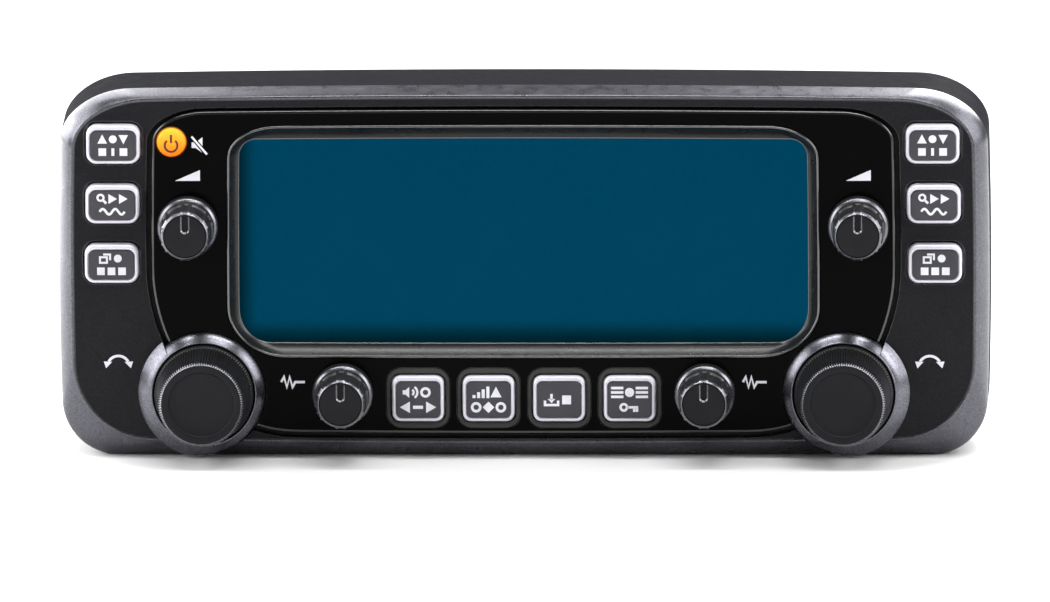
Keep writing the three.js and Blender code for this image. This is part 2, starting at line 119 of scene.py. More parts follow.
def bend(a, b, along_x, handles, steps):
    """A corner that leaves a along x (or z) and arrives at b square to that, leaving a out."""
    hx, hz = handles
    if along_x:
        first, second = (a[0] + (b[0] - a[0]) * hx, a[1]), (b[0], b[1] - (b[1] - a[1]) * hz)
    else:
        first, second = (a[0], a[1] + (b[1] - a[1]) * hz), (b[0] - (b[0] - a[0]) * hx, b[1])
    points = []
    for i in range(1, steps + 1):
        t = i / steps
        weights = ((1 - t) ** 3, 3 * t * (1 - t) ** 2, 3 * t * t * (1 - t), t ** 3)
        points.append(tuple(sum(w * p[k] for w, p in zip(weights, (a, first, second, b))) for k in (0, 1)))
    return points


def rounded(w, h, r, x, z):
    """Points of a plain rounded rectangle of half width w and half height h."""
    shape = Outline(w, -h, h, (r, r), (r, r), crowned=False)
    return [(px + x, pz + z) for px, pz in shape.points(8, 2, 2)]


BODY_REAR = Outline(74.4, 0, 59.6, (8.5, 8.8), (11.2, 8.2), flat_base=True)
BODY_RIM = Outline(74.2, 0, 59.5, (8.5, 8.8), (11.4, 8.4), flat_base=True)
BODY_FACE = Outline(72.1, 3.2, 58.3, (12.2, 12.2), (12, 7.8))
COVER_FRONT = Outline(72.9, 1.5, 58, (8, 8), (11.5, 8.5), flat_base=True)
COVER_REAR = Outline(71.4, 3, 56.4, (7.5, 7.5), (10.5, 7.5), flat_base=True)
PANEL = Outline(59.3, 4.7, 56.2, (23, 26.5), (8.5, 4.8), handles=(0.69, 0.43))
POCKET = Outline(60.05, 3.85, 56.6, (23.75, 27.4), (9.2, 5.2), handles=(0.69, 0.43))
BEZEL = Outline(47.2, 16.75, 53.8, (9.3, 8), (8, 5))
WINDOW = Outline(45.3, 18.9, 51.4, (5, 5.5), (2.6, 2.6))
LENS = Outline(46.1, 17.8, 52.6, (6, 5.2), (4, 4))

DIALS = {name: centre(f"dial_knob_{name}") for name, _ in SIDES}
VOLUMES = {name: centre(f"volume_knob_{name}") for name, _ in SIDES}
SQUELCHES = {name: centre(f"squelch_knob_{name}") for name, _ in SIDES}
SIDE_KEYS = {f"{key}_key_{name}": centre(f"{key}_key_{name}")
             for key in ("main", "scan", "memory") for name, _ in SIDES}
LOWER_KEYS = {key: centre(key) for key in ("monitor_key", "power_level_key", "write_key", "menu_key")}
POWER = centre("power_button")

SIDE_KEY_SIZE = (4.3, 3.15, 1.6)
LOWER_KEY_SIZE = (4.15, 3.7, 1.3)
WELL_SIZE = (5.1, 4.95, 2.4)
KEY_D = -1.6
DIAL_D = -12.0
DIAL_FRONT_R = 6.9
DIAL_BASE_R = 7.98
SMALL_KNOB_D = -11.0
COLLAR_BORE_R = 8.2
COLLAR_LIP_R = 8.5
COLLAR_RING_R = 9.8
COLLAR_SKIRT_R = 10.6
SHAFT_HOLE_R = 3.4
ENCODER_HOLE_R = 4.6
POWER_CASE_HOLE_R = 2.8
POWER_PANEL_HOLE_R = 2.46
SIDE_LEGEND_SCALE = 1.06
LOWER_LEGEND_SCALE = 1.24
MARK_THICKNESS = 0.06
MARK_HEIGHTS = {"volume": 46.1, "squelch": 12.5, "dial": 15.8, "mute": 51.1}
MARK_REACHES = {"squelch": 37.1, "dial": 65.2, "mute": 51.9}

# ---------------------------------------------------------------- meshes


class Shape:
    """Points in millimetres and the faces between them, gathered before they become one mesh."""

    def __init__(self):
        self.points = []
        self.faces = []

    def skin(self, rings, closed=False):
        """Faces over equal rings of (x, d, z). A ring of one point ends the surface in a fan."""
        starts = []
        for ring in rings:
            starts.append(len(self.points))
            self.points += ring
        pairs = list(zip(range(len(rings)), range(1, len(rings))))
        if closed:
            pairs.append((len(rings) - 1, 0))
        for s, t in pairs:
            self.join(starts[s], len(rings[s]), starts[t], len(rings[t]))
        if not closed and len(rings[0]) > 1:
            self.faces.append(list(range(starts[0], starts[0] + len(rings[0]))))
        if not closed and len(rings[-1]) > 1:
            self.faces.append(list(reversed(range(starts[-1], starts[-1] + len(rings[-1])))))
        return self

    def join(self, a, size_a, b, size_b):
        """Faces between two rings that start at points a and b."""
        for i in range(max(size_a, size_b)):
            j = (i + 1) % max(size_a, size_b)
            if size_a == 1:
                self.faces.append([a, b + i, b + j])
            elif size_b == 1:
                self.faces.append([a + i, b, a + j])
            else:
                self.faces.append([a + i, b + i, b + j, a + j])

    def mesh(self, name):
        """A Blender object of this shape, in metres in the frame."""
        mesh = bpy.data.meshes.new(name)
        mesh.from_pydata([place_point(p) for p in self.points], [], self.faces)
        mesh.update()
        made = bpy.data.objects.new(name, mesh)
        bpy.context.collection.objects.link(made)
        return made


def place_point(point):
    """(x, d, z) in millimetres as metres in the frame."""
    x, d, z = point
    return x * MM, d * MM + FACE_Y, z * MM


def at(loop, d):
    """A loop of (x, z) points placed at a depth."""
    return [(x, d, z) for x, z in loop]


def mix(a, b, t):
    """A loop part of the way from a to b."""
    return [(p[0] + (q[0] - p[0]) * t, p[1] + (q[1] - p[1]) * t) for p, q in zip(a, b)]


def circle(r, x, z, steps):
    """A loop round (x, z), starting at the top."""
    turns = [2 * math.pi * i / steps for i in range(steps)]
    return [(x - r * math.sin(a), z + r * math.cos(a)) for a in turns]


def wavy(r, d, x, z, depths):
    """A ring round (x, z), drawn in at each step by one of the depths."""
    loop = []
    for i, depth in enumerate(depths):
        a = 2 * math.pi * i / len(depths)
        loop.append((x - (r - depth) * math.sin(a), d, z + (r - depth) * math.cos(a)))
    return loop


def turned(profile, x, z, steps=96):
    """Rings of a body turned about a front-to-back axis. The profile is [(radius, depth)]."""
    return [[(x, d, z)] if r == 0 else at(circle(r, x, z, steps), d) for r, d in profile]


def rod(r, x, z, front, back):
    return Shape().skin(turned([(r, front), (r, back)], x, z))


def slab(loop, front, back):
    return Shape().skin([at(loop, front), at(loop, back)])


def prism(loop_at, d0, d1, edge, steps=4):
    """Rings of a slab whose front edge is rounded by edge. loop_at(k) is its outline drawn in by k."""
    rings = []
    for i in range(steps):
        a = math.pi / 2 * i / steps
        rings.append(at(loop_at(edge * (1 - math.sin(a))), d0 + edge * (1 - math.cos(a))))
    rings.append(at(loop_at(0), d0 + edge))
    rings.append(at(loop_at(0), d1))
    return rings


def cutter(loop_at, surface, bottom, edge=0.2, steps=4):
    """A tool that cuts a hole from a surface down to a depth, and rounds the hole's edge."""
    rings = [at(loop_at(-edge * 0.97), surface - 3)]
    for i in range(steps):
        a = math.pi / 2 * (i + 0.35) / steps
        rings.append(at(loop_at(-edge * (1 - math.sin(a))), surface + edge * (1 - math.cos(a))))
    rings.append(at(loop_at(0), surface + edge))
    rings.append(at(loop_at(0), bottom))
    return Shape().skin(rings)


def combine(body, others, operation):
    """Cuts other objects from a body, or joins or intersects them, and removes them."""
    for other in others:
        modifier = body.modifiers.new("combine", "BOOLEAN")
        modifier.operation = operation
        modifier.solver = "MANIFOLD"
        modifier.object = other
    depsgraph = bpy.context.evaluated_depsgraph_get()
    result = bpy.data.meshes.new_from_object(body.evaluated_get(depsgraph))
    body.modifiers.clear()
    body.data = result
    for other in others:
        bpy.data.objects.remove(other)


def carve(body, tools, operation="DIFFERENCE"):
    """Cuts shapes from a body, or joins or intersects them."""
    combine(body, [tool.mesh("tool") for tool in tools], operation)


def dress(made, body, materials, nodes=(), sharp=32):
    """Gives a piece its shading, its materials, its body and the CAD nodes it stands for."""
    mesh = made.data
    mesh.materials.clear()
    for material in materials:
        mesh.materials.append(material)
    mesh.shade_smooth()
    mesh.set_sharp_from_angle(angle=math.radians(sharp))
    weighted = made.modifiers.new("weighted normals", "WEIGHTED_NORMAL")
    weighted.keep_sharp = True
    weighted.weight = 80
    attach(made, body)
    if nodes:
        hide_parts(*nodes)


# ---------------------------------------------------------------- materials


class Recipe:
    """A material with one Principled shader, and short ways to add nodes to it."""

    def __init__(self, name, colour, roughness, metallic=0.0, **sockets):
        self.material = bpy.data.materials.new(name)
        self.material.use_nodes = True
        self.tree = self.material.node_tree
        self.shader = self.tree.nodes["Principled BSDF"]
        self.shader.inputs["Base Color"].default_value = (*colour, 1)
        self.shader.inputs["Roughness"].default_value = roughness
        self.shader.inputs["Metallic"].default_value = metallic
        for socket, value in sockets.items():
            self.shader.inputs[socket.replace("_", " ")].default_value = value
        self.colour = colour
        self.position = self.node("ShaderNodeTexCoord").outputs["Object"]

    def node(self, kind, settings=None, **links):
        """A new node. settings are its properties, and links its inputs, as values or sockets."""
        made = self.tree.nodes.new(kind)
        for key, value in (settings or {}).items():
            setattr(made, key, value)
        for key, value in links.items():
            self.feed(made.inputs[key.replace("_", " ")], value)
        return made

    def feed(self, socket, value):
        if isinstance(value, bpy.types.NodeSocket):
            self.tree.links.new(value, socket)
        else:
            socket.default_value = value

    def noise(self, size_mm, detail=2.0, **links):
        """Soft noise with features of about size_mm, from 0 to 1."""
        links = {"Vector": self.position, "Scale": 1 / (size_mm * MM), "Detail": detail, **links}
        return self.node("ShaderNodeTexNoise", **links).outputs["Fac"]

    def remap(self, value, low, high, to_low, to_high):
        made = self.node("ShaderNodeMapRange", Value=value, From_Min=low, From_Max=high,
                         To_Min=to_low, To_Max=to_high)
        return made.outputs["Result"]

    def cloud(self, size_mm, low, high, detail=2.0):
        """Soft noise that runs from low to high."""
        return self.remap(self.noise(size_mm, detail), 0.3, 0.7, low, high)

    def blend(self, amount, a, b, mode="MIX"):
        """A colour between a and b."""
        made = self.tree.nodes.new("ShaderNodeMix")
        made.data_type = "RGBA"
        made.blend_type = mode
        self.feed(made.inputs["Factor"], amount)
        self.feed(made.inputs[6], a)
        self.feed(made.inputs[7], b)
        return made.outputs[2]

    def bump(self, height, distance_mm, strength):
        made = self.node("ShaderNodeBump", Height=height, Distance=distance_mm * MM, Strength=strength)
        return made.outputs["Normal"]

    def shade(self, share):
        """The base colour made darker or lighter."""
        return tuple(min(1, c * share) for c in self.colour) + (1,)

    def mottle(self, mask, darkest, lightest=1.0):
        """Varies the base colour between two shares of itself."""
        self.set("Base Color", self.blend(mask, self.shade(darkest), self.shade(lightest)))

    def set(self, socket, value):
        self.feed(self.shader.inputs[socket], value)


def painted(name, colour, roughness, metallic, flake=0.25, flake_mm=0.16, **sockets):
    """Metallic paint: fine flakes that differ in brightness, over a slightly uneven coat."""
    recipe = Recipe(name, colour, roughness, metallic, **sockets)
    cells = recipe.node("ShaderNodeTexVoronoi", Vector=recipe.position, Scale=1 / (flake_mm * MM))
    tone = recipe.node("ShaderNodeSeparateColor", Color=cells.outputs["Color"]).outputs["Red"]
    cloud = recipe.cloud(9, 0.96, 1.04)
    flaked = recipe.blend(tone, recipe.shade(1 - flake), recipe.shade(1 + flake))
    tint = recipe.node("ShaderNodeCombineColor", Red=cloud, Green=cloud, Blue=cloud).outputs["Color"]
    recipe.set("Base Color", recipe.blend(1.0, flaked, tint, "MULTIPLY"))
    recipe.set("Roughness", recipe.cloud(2.2, roughness - 0.05, roughness + 0.05, 3))
    recipe.set("Normal", recipe.bump(recipe.noise(0.5, 2), 0.004, 0.6))
    return recipe.material


def moulded(name, colour, roughness, grain_mm=0.35, grain=0.006, **sockets):
    """Moulded plastic: fine spark-eroded grain with small changes of tone and gloss."""
    recipe = Recipe(name, colour, roughness, **sockets)
    recipe.mottle(recipe.cloud(4, 0, 1, 3), 0.9, 1.1)
    recipe.set("Roughness", recipe.cloud(1.5, roughness - 0.04, roughness + 0.05, 3))
    recipe.set("Normal", recipe.bump(recipe.noise(grain_mm, 3), grain, 0.7))
    return recipe.material


def polished(name, colour, roughness, **sockets):
    """Polished plastic: nearly smooth, with faint handling marks in its gloss."""
    recipe = Recipe(name, colour, roughness, **sockets)
    smear = recipe.noise(6, 4, Distortion=1.5)
    recipe.set("Roughness", recipe.remap(smear, 0.35, 0.75, roughness, roughness + 0.06))
    recipe.mottle(recipe.cloud(12, 0, 1), 0.92)
    recipe.set("Normal", recipe.bump(recipe.noise(5, 1), 0.001, 0.4))
    return recipe.material


def metal(name, colour, roughness, streak=0.08):
    """Plated or turned metal, with fine streaks in its gloss."""
    recipe = Recipe(name, colour, roughness, metallic=1.0)
    stretched = recipe.node("ShaderNodeMapping", Vector=recipe.position, Scale=(1, 12, 1))
    lines = recipe.noise(1.2, 3.0, Vector=stretched.outputs["Vector"])
    recipe.set("Roughness", recipe.remap(lines, 0.3, 0.7, roughness - streak, roughness + streak))
    recipe.mottle(recipe.cloud(3, 0, 1), 0.85)
    recipe.set("Normal", recipe.bump(lines, 0.004, 0.4))
    return recipe.material


def edge_depth(recipe, start, end, axis):
    """From 0 at start to 1 at end, in millimetres along an axis of the frame."""
    value = recipe.node("ShaderNodeSeparateXYZ", Vector=recipe.position).outputs[axis]
    made = recipe.node("ShaderNodeMapRange", {"interpolation_type": "SMOOTHSTEP"}, Value=value,
                       From_Min=start * MM, From_Max=end * MM, To_Min=0.0, To_Max=1.0)
    return made.outputs["Result"]


def display_blue():
    """The blank display: an even deep blue backlit glow, with a painted shadow of the bezel that darkens it
    towards its left and lower edges.
    """
    recipe = Recipe("display_blue", (0, 0, 0), 0.5, Specular_IOR_Level=0.0)
    full, shadowed_blue = (0.0, 0.056, 0.117, 1), (0.0, 0.016, 0.026, 1)
    # Painted shadow of the bezel: the glow is darkened towards the display's left and lower edges.
    left = edge_depth(recipe, -46.0, -42.6, "X")
    low = edge_depth(recipe, 18.6, 22.4, "Z")
    lit = recipe.node("ShaderNodeMath", {"operation": "MULTIPLY"})
    recipe.feed(lit.inputs[0], left)
    recipe.feed(lit.inputs[1], low)
    glow = recipe.blend(lit.outputs["Value"], shadowed_blue, full)
    grid = recipe.node("ShaderNodeTexVoronoi", {"distance": "CHEBYCHEV"}, Vector=recipe.position,
                       Scale=1 / (0.45 * MM), Randomness=0.0)
    dots = recipe.remap(grid.outputs["Distance"], 0.4, 0.5, 1.0, 0.92)
    shade = recipe.node("ShaderNodeCombineColor", Red=dots, Green=dots, Blue=dots).outputs["Color"]
    recipe.set("Emission Color", recipe.blend(1.0, glow, shade, "MULTIPLY"))
    recipe.set("Emission Strength", 1.0)
    return recipe.material


def clear_window():
    """Clear coated acrylic over the display, with very little glare."""
    recipe = Recipe("clear_window", (1, 1, 1), 0.03, Transmission_Weight=1.0, IOR=1.03)
    recipe.set("Roughness", recipe.remap(recipe.noise(8, 3), 0.35, 0.7, 0.02, 0.05))
    return recipe.material


def amber_button():
    """Amber translucent plastic with a painted glow, as if lit from behind, and a painted highlight that
    makes it paler towards the top.
    """
    recipe = Recipe("amber_button", (0.9, 0.3, 0.03), 0.35, IOR=1.15)
    # Painted highlight: the colour turns paler towards the top of the button.
    up = edge_depth(recipe, POWER[1] - 2.5, POWER[1] + 2.5, "Z")
    colour = recipe.blend(up, (0.84, 0.16, 0.004, 1), (0.98, 0.36, 0.03, 1))
    recipe.set("Base Color", colour)
    # Painted glow: the button gives off light in its own colour.
    recipe.set("Emission Color", colour)
    recipe.set("Emission Strength", 0.4)
    recipe.set("Normal", recipe.bump(recipe.noise(0.5, 2), 0.004, 0.5))
    return recipe.material


LOOK = {
    "face": painted("gunmetal_face", (0.0075, 0.0075, 0.009), 0.45, 0.0, flake=0.45, IOR=1.24),
    # The next two are copies of the face paint. The first reflects more: a painted highlight on the face's
    # edges and hole walls. The second reflects less: painted shade on the case's top, sides and back.
    "lit_face_edge": painted("gunmetal_edge_highlight", (0.012, 0.012, 0.0145), 0.3, 0.0, flake=0.3, IOR=1.6),
    "wall": painted("gunmetal_wall_shaded", (0.011, 0.011, 0.013), 0.6, 0.0, flake=0.35, IOR=1.05),
    "band": painted("gunmetal_band", (0.1, 0.1, 0.114), 0.3, 0.9, flake=0.24),
    "silver": painted("silver_ring", (0.13, 0.13, 0.15), 0.27, 0.95, flake=0.25),
    "cover": moulded("cover_plastic", (0.013, 0.013, 0.0155), 0.52, grain_mm=0.5, grain=0.02, IOR=1.3),
    "panel": polished("black_panel", (0.0015, 0.0015, 0.0015), 0.09, IOR=1.09),
    # A copy of the panel's black that reflects more, for its edges: painted highlight.
    "lit_panel_edge": polished("black_panel_edge", (0.004, 0.004, 0.004), 0.16, IOR=1.7),
    "well": moulded("key_surround", (0.036, 0.036, 0.034), 0.42, IOR=1.3),
    "bezel": polished("dark_gloss_frame", (0.008, 0.008, 0.0078), 0.26, IOR=1.4),
    # A copy of the frame's black that reflects more, for its rim and the strip by the window: painted
    # highlight.
    "lit_bezel_edge": polished("dark_gloss_rim_highlight", (0.02, 0.02, 0.0195), 0.14, IOR=2.0),
    "window": clear_window(),
    "display": display_blue(),
    "knob": moulded("knob_plastic", (0.011, 0.011, 0.0122), 0.34, grain_mm=0.3, grain=0.006, IOR=1.5),
    "knob_face": moulded("knob_face", (0.0095, 0.0095, 0.011), 0.42, grain_mm=0.25, grain=0.006, IOR=1.22),
    "knob_edge": painted("knob_edge", (0.14, 0.14, 0.155), 0.27, 0.9, flake=0.1),
    "key_frame": painted("key_frame", (0.62, 0.6, 0.67), 0.34, 0.2, flake=0.08, flake_mm=0.1),
    "key_face": moulded("key_face", (0.048, 0.047, 0.054), 0.45, grain_mm=0.2, grain=0.006, IOR=1.3),
    "ink": moulded("white_ink", (0.66, 0.66, 0.71), 0.5, grain_mm=0.2, grain=0.002),
    "amber": amber_button(),
    "brown": moulded("dark_symbol", (0.07, 0.012, 0.001), 0.5, grain_mm=0.2, grain=0.002),
    "steel": metal("plated_steel", (0.2, 0.2, 0.21), 0.34),
    "brass": metal("turned_brass", (0.42, 0.27, 0.08), 0.32),
    "gold": metal("contact_gold", (0.85, 0.55, 0.18), 0.22),
    "socket": moulded("socket_plastic", (0.012, 0.012, 0.013), 0.45, grain_mm=0.3),
    "board": polished("solder_mask", (0.01, 0.09, 0.03), 0.25),
    "rubber": moulded("silicone_rubber", (0.14, 0.15, 0.16), 0.7, grain_mm=0.6),
    "flex": polished("polyimide_film", (0.4, 0.15, 0.02), 0.25),
    "guide": polished("light_guide", (0.7, 0.75, 0.78), 0.3),
    "foil": metal("label_foil", (0.22, 0.225, 0.235), 0.4),
}
KNOB_LOOKS = (LOOK["knob"], LOOK["knob_face"], LOOK["knob_edge"])
KNOB_FACE, KNOB_EDGE = 1, 2

# ---------------------------------------------------------------- front case


def case_rings():
    """The case's outside, from its face's lip over the sloping band to the parting line."""
    rings = [at(BODY_FACE.inset(k).points(), d) for k, d in
             ((0.8, 0), (0.5, 0), (0.42, -0.02), (0.35, -0.08), (0.24, -0.13), (0.12, -0.15), (0, -0.12),
              (-0.1, -0.04), (-0.18, 0.08))]
    brow, rim, rear = BODY_FACE.inset(-0.18).points(), BODY_RIM.points(), BODY_REAR.points()
    for i in range(1, 13):
        t = i / 12
        outward = 1 - (1 - t) ** 1.3
        rings.append(at(mix(brow, rim, outward), 0.1 + 3.4 * t ** 1.15))
    for i in range(1, 7):
        rings.append(at(mix(rim, rear, i / 6), 3.5 + (PARTING_D - 0.5 - 3.5) * i / 6))
    for i in range(1, 5):
        a = math.pi / 2 * i / 4
        rounding = BODY_REAR.inset(0.5 * (1 - math.cos(a)))
        rings.append(at(rounding.points(), PARTING_D - 0.5 + 0.5 * math.sin(a)))
    return rings


def key_hole(size, x, z, surface, bottom, margin=0.3, edge=0.25):
    """A tool for a rounded opening that a key passes through."""
    w, h, r = (extent + margin for extent in size)
    return cutter(lambda k: rounded(w - k, h - k, r - k, x, z), surface, bottom, edge)


def round_hole(r, x, z, surface, bottom, edge=0.2, steps=64):
    return cutter(lambda k: circle(r - k, x, z, steps), surface, bottom, edge)


def inside(loop, x, z):
    """Whether a point lies within a loop."""
    hit = False
    for (x0, z0), (x1, z1) in zip(loop, loop[1:] + loop[:1]):
        if (z0 > z) != (z1 > z) and x < x0 + (x1 - x0) * (z - z0) / (z1 - z0):
            hit = not hit
    return hit


def build_front_case():
    case = Shape().skin(case_rings()).mesh("case_shell")
    hollow = [at(BODY_RIM.inset(WALL).points(), PLATE_BACK_D),
              at(BODY_REAR.inset(WALL).points(), PARTING_D + 1)]
    tools = [Shape().skin(hollow)]
    tools.append(cutter(lambda k: POCKET.inset(k).points(), 0, 1.5, 0.16))
    tools.append(slab(LENS.inset(-0.3).points(), -1, 5))
    for name, _ in SIDES:
        tools.append(round_hole(COLLAR_RING_R + 0.15, *DIALS[name], 0, 2.2, 0.1, 128))
        tools.append(rod(ENCODER_HOLE_R, *DIALS[name], -1, 5))
        tools += [rod(SHAFT_HOLE_R, x, z, -1, 5) for x, z in (VOLUMES[name], SQUELCHES[name])]
    tools += [key_hole(SIDE_KEY_SIZE, x, z, 0, 5) for x, z in SIDE_KEYS.values()]
    tools += [key_hole(LOWER_KEY_SIZE, x, z, 0, 5) for x, z in LOWER_KEYS.values()]
    tools.append(rod(POWER_CASE_HOLE_R, *POWER, -1, 5))
    carve(case, tools)
    looks = ("band", "face", "wall", "lit_face_edge")
    band, face, wall, lit_face_edge = range(len(looks))
    dress(case, "case", [LOOK[look] for look in looks], ["front_case"])
    # Behind the face plate, the case takes the copy of its paint that reflects less: painted shade. Within
    # the face's border, surfaces that don't face forward take the copy that reflects more: painted highlight.
    border = BODY_FACE.inset(0.3).points()
    for polygon in case.data.polygons:
        middle = polygon.center
        if middle.y > FACE_Y + 3.4 * MM:
            polygon.material_index = wall
        elif inside(border, middle.x / MM, middle.z / MM):
            polygon.material_index = face if polygon.normal.y < -0.98 else lit_face_edge
        else:
            polygon.material_index = band


build_front_case()

# ---------------------------------------------------------------- black panel, bezel and display


def build_panel():
    rings = prism(lambda k: PANEL.inset(k).points(24, 16, 10), PANEL_D, 1.2, 0.45, 5)
    panel = Shape().skin(rings).mesh("gloss_panel")
    tools = [slab(BEZEL.inset(-0.12).points(), -2, 2)]
    for name, _ in SIDES:
        tools.append(round_hole(COLLAR_RING_R + 0.15, *DIALS[name], PANEL_D, 2, 0.08, 128))
        tools += [round_hole(SHAFT_HOLE_R, x, z, PANEL_D, 2) for x, z in (VOLUMES[name], SQUELCHES[name])]
    for x, z in LOWER_KEYS.values():
        tools.append(key_hole(WELL_SIZE, x, z, PANEL_D, 2, 0, 0.06))
    tools.append(round_hole(POWER_PANEL_HOLE_R, *POWER, PANEL_D, 2, 0.08))
    carve(panel, tools)
    dress(panel, "case", (LOOK["panel"], LOOK["lit_panel_edge"]), ["front_panel"])
    # Surfaces of the panel that don't face forward take the copy that reflects more: painted highlight along
    # its rim and hole walls.
    for polygon in panel.data.polygons:
        polygon.material_index = 0 if polygon.normal.y < -0.99 else 1


def build_well(key, x, z):
    """The dark-grey surround of a lower key, set into the panel."""
    fit, gap = 0.05, 0.25
    outer = lambda k: rounded(WELL_SIZE[0] - fit - k, WELL_SIZE[1] - fit - k, WELL_SIZE[2], x, z)
    inner = lambda k: rounded(LOWER_KEY_SIZE[0] + gap + k, LOWER_KEY_SIZE[1] + gap + k, 1.5 + k, x, z)
    front = PANEL_D + 0.04
    rings = [at(inner(0.25), front), at(outer(0.2), front), at(outer(0.06), front + 0.02),
             at(outer(0), front + 0.1), at(outer(0), 1.1), at(inner(0), 1.1), at(inner(0), front + 0.25),
             at(inner(0.07), front + 0.07)]
    well = Shape().skin(rings, closed=True).mesh(f"{key}_surround")
    dress(well, "case", (LOOK["well"],))


def build_bezel():
    """The frame round the display: a rounded outer edge, then a slope that runs in to the window."""
    front = -0.9
    outer = [(0.3, front + 0.02), (0.22, front), (0.12, front + 0.02), (0.04, front + 0.08),
             (0, front + 0.2), (0, 1.2)]
    rings = [at(BEZEL.inset(k).points(), d) for k, d in outer]
    window, shoulder = WINDOW.points(), BEZEL.inset(0.36).points()
    rings += [at(window, 1.2), at(window, 0.9)]
    rings += [at(WINDOW.inset(k).points(), 0.84) for k in (-0.05, -0.16)]
    for i in range(9):
        t = i / 8
        rings.append(at(mix(window, shoulder, 0.14 + 0.86 * t), 0.78 - 1.62 * t ** 1.4))
    bezel = Shape().skin(rings, closed=True).mesh("bezel")
    dress(bezel, "case", (LOOK["bezel"], LOOK["lit_bezel_edge"]), ["display_bezel"], sharp=40)
    # The frame's outer rim and the strip by the window take the copy that reflects more: painted highlight.
    rim, land = BEZEL.inset(0.38).points(), WINDOW.inset(-0.18).points()
    for polygon in bezel.data.polygons:
        x, z = polygon.center.x / MM, polygon.center.z / MM
        polygon.material_index = 1 if inside(land, x, z) or not inside(rim, x, z) else 0


def build_window():
    rings = prism(lambda k: LENS.inset(k).points(), 1.5, 2.5, 0.2)
    rings.append(at(LENS.inset(0.2).points(), 2.7))
    window = Shape().skin(rings).mesh("window")
    dress(window, "case", (LOOK["window"],), ["display_window"])


build_panel()
for key, (x, z) in LOWER_KEYS.items():
    build_well(key, x, z)
build_bezel()
build_window()

# ---------------------------------------------------------------- dials


def build_collar(name, side, x, z):
    """A slim silver cone over the panel, widened over the case on the outer side."""
    bore, lip, ring, skirt = COLLAR_BORE_R, COLLAR_LIP_R, COLLAR_RING_R, COLLAR_SKIRT_R
    steps = 160
    slim = [(bore, -2.2), (bore + 0.04, -2.34), (bore + 0.12, -2.4), (lip - 0.05, -2.4), (lip + 0.05, -2.3),
            (lip + 0.08, -2.14), (lip + 0.14, -2.08), (lip + 0.6, -1.7), (ring - 0.35, -1.32),
            (ring - 0.14, -1.05), (ring - 0.03, -0.82), (ring, -0.6), (ring, 1.9), (bore, 1.9)]
    collar = Shape().skin(turned(slim, x, z, steps), closed=True).mesh(f"collar_{name}")

    def skirt_ring(t, d):
        """A loop part of the way from the lip to the skirt's edge, which draws in on the inner side."""
        loop = []
        for px, pz in circle(1.0, 0, 0, steps):
            outer = min(1, max(0, (px * side + 0.4) / 0.6))
            edge = ring - 0.1 + (skirt - ring + 0.1) * outer * outer * (3 - 2 * outer)
            r = lip - 0.02 + (edge - lip + 0.02) * t
            loop.append((x + px * r, z + pz * r))
        return at(loop, d)

    hole = circle(bore + 0.15, x, z, steps)
    wide = [at(hole, -2.2)]
    wide += [skirt_ring(t, -2.28 + 1.7 * t ** 1.35) for t in (0, 0.2, 0.4, 0.6, 0.8, 0.95, 1.0)]
    wide += [skirt_ring(1.0, -0.02), at(hole, -0.02)]
    around = Shape().skin(wide, closed=True).mesh("skirt")
    carve(around, [slab(POCKET.inset(-0.05).points(24, 16, 10), -5, 5)])
    envelope = Shape().skin([at(BODY_FACE.points(), -3), at(BODY_RIM.points(), 0.5)])
    carve(around, [envelope], "INTERSECT")
    combine(collar, [around], "UNION")
    dress(collar, "case", (LOOK["silver"],), [f"dial_collar_{name}"])


def build_dial_knob(name, x, z, teeth=108):
    """A tapered knob with a knurled side, a bright serrated front edge and a dished front."""
    front, edge, base = DIAL_D, DIAL_FRONT_R, DIAL_BASE_R
    per_tooth = 6
    waves = [abs(((i % per_tooth) / per_tooth) * 2 - 1) ** 1.5 for i in range(teeth * per_tooth)]
    ring = lambda r, d, depth: wavy(r, d, x, z, [depth * wave for wave in waves])
    profile = [(edge - 1.92, front + 0.42, 0), (edge - 1.78, front + 0.38, 0), (edge - 1.7, front + 0.26, 0),
               (edge - 1.62, front + 0.08, 0), (edge - 1.48, front, 0), (edge - 0.56, front, 0),
               (edge - 0.5, front + 0.03, 0.02), (edge - 0.28, front + 0.26, 0.13),
               (edge - 0.05, front + 0.5, 0.24), (edge, front + 0.62, 0.28)]
    for i in range(1, 9):
        t = i / 8
        profile.append((edge + (base - edge - 0.2) * t, front + 0.62 + 8.18 * t, 0.28))
    profile += [(base - 0.18, -3.1, 0.14), (base - 0.16, -3.0, 0), (base - 0.08, -2.85, 0), (base, -2.6, 0),
                (base, 0.9, 0)]
    rings = [[(x, front + 0.5, z)], ring(2.6, front + 0.46, 0)]
    rings += [ring(*row) for row in profile]
    rings.append([(x, 0.9, z)])
    knob = Shape().skin(rings).mesh(f"dial_{name}_cap")
    dress(knob, f"dial_{name}", KNOB_LOOKS, [f"dial_knob_{name}"])
    for polygon in knob.data.polygons:
        middle = polygon.center
        if middle.y < FACE_Y + (front + 0.56) * MM:
            r = math.hypot(middle.x / MM - x, middle.z / MM - z)
            polygon.material_index = KNOB_FACE if r < edge - 0.51 else KNOB_EDGE


for name, side in SIDES:
    build_collar(name, side, *DIALS[name])
    build_dial_knob(name, *DIALS[name])

# ---------------------------------------------------------------- small knobs


